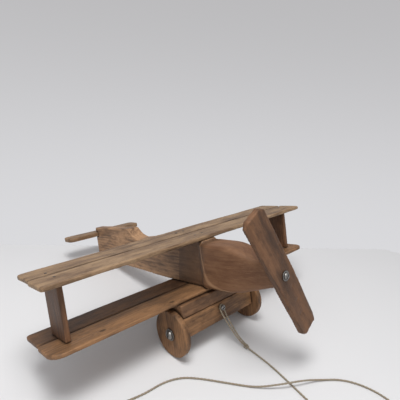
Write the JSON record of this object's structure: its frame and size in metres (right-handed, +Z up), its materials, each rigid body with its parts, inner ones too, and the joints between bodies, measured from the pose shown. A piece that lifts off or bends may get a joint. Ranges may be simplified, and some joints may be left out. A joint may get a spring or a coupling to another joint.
{
  "type": "wooden toy biplane",
  "caption": "Pull-along wooden toy biplane with slat wings, carved body, turning propeller and wheels, and a twine pull cord.",
  "frame": {"origin": "on the floor, under the middle of the toy's bounding box, cord left out", "axes": "+Z up; -Y the way the nose points; +X to the toy's port side, along the wings"},
  "size_m": [0.405, 0.5248, 0.1948],
  "materials": {
    "body_pine": "worn stain",
    "wing_pine": "worn stain",
    "strut_pine": "worn stain",
    "tail_pine": "worn stain",
    "undercarriage_pine": "worn stain",
    "wheel_pine": "worn stain",
    "propeller_pine": "worn stain",
    "screw_steel": "dulled",
    "washer_steel": "dulled",
    "pin_steel": "tarnished",
    "jute_twine": "natural fibre"
  },
  "bodies": {
    "airframe": {"fuselage": "body_pine", "upper_wing_front": "wing_pine", "upper_wing_rear": "wing_pine", "lower_wing_front": "wing_pine", "lower_wing_rear": "wing_pine", "strut_starboard": "strut_pine", "strut_port": "strut_pine", "tailplane": "tail_pine", "undercarriage_spacer": "undercarriage_pine", "axle_beam": "undercarriage_pine", "axle_screw_starboard": "screw_steel", "axle_screw_port": "screw_steel", "propeller_screw": "screw_steel", "tow_screw": "screw_steel", "strut_screws": "screw_steel", "lower_wing_screws": "screw_steel", "undercarriage_screws": "screw_steel", "inner_washer_starboard": "washer_steel", "inner_washer_port": "washer_steel", "outer_washer_starboard": "washer_steel", "outer_washer_port": "washer_steel", "propeller_washer_front": "washer_steel", "propeller_washer_rear": "washer_steel", "upper_wing_pins": "pin_steel", "strut_pins": "pin_steel", "tailplane_pins": "pin_steel", "tow_loop": "jute_twine", "cord_knot": "jute_twine", "pull_cord": "jute_twine", "cord_coil": "jute_twine", "cord_end_knot": "jute_twine"},
    "wheel_starboard": {"wheel_starboard": "wheel_pine"},
    "wheel_port": {"wheel_port": "wheel_pine"},
    "propeller": {"propeller": "propeller_pine"}
  },
  "joints": [
    {"name": "wheel_starboard_spin", "type": "hinge", "parent": "airframe", "child": "wheel_starboard", "pos_m": [-0.0634, -0.09158, 0.0276], "axis": [1, 0, 0], "continuous": true},
    {"name": "wheel_port_spin", "type": "hinge", "parent": "airframe", "child": "wheel_port", "pos_m": [0.0634, -0.09158, 0.0276], "axis": [1, 0, 0], "continuous": true},
    {"name": "propeller_spin", "type": "hinge", "parent": "airframe", "child": "propeller", "pos_m": [0, -0.18348, 0.12176], "axis": [0, -0.9651, 0.2619], "continuous": true}
  ]
}
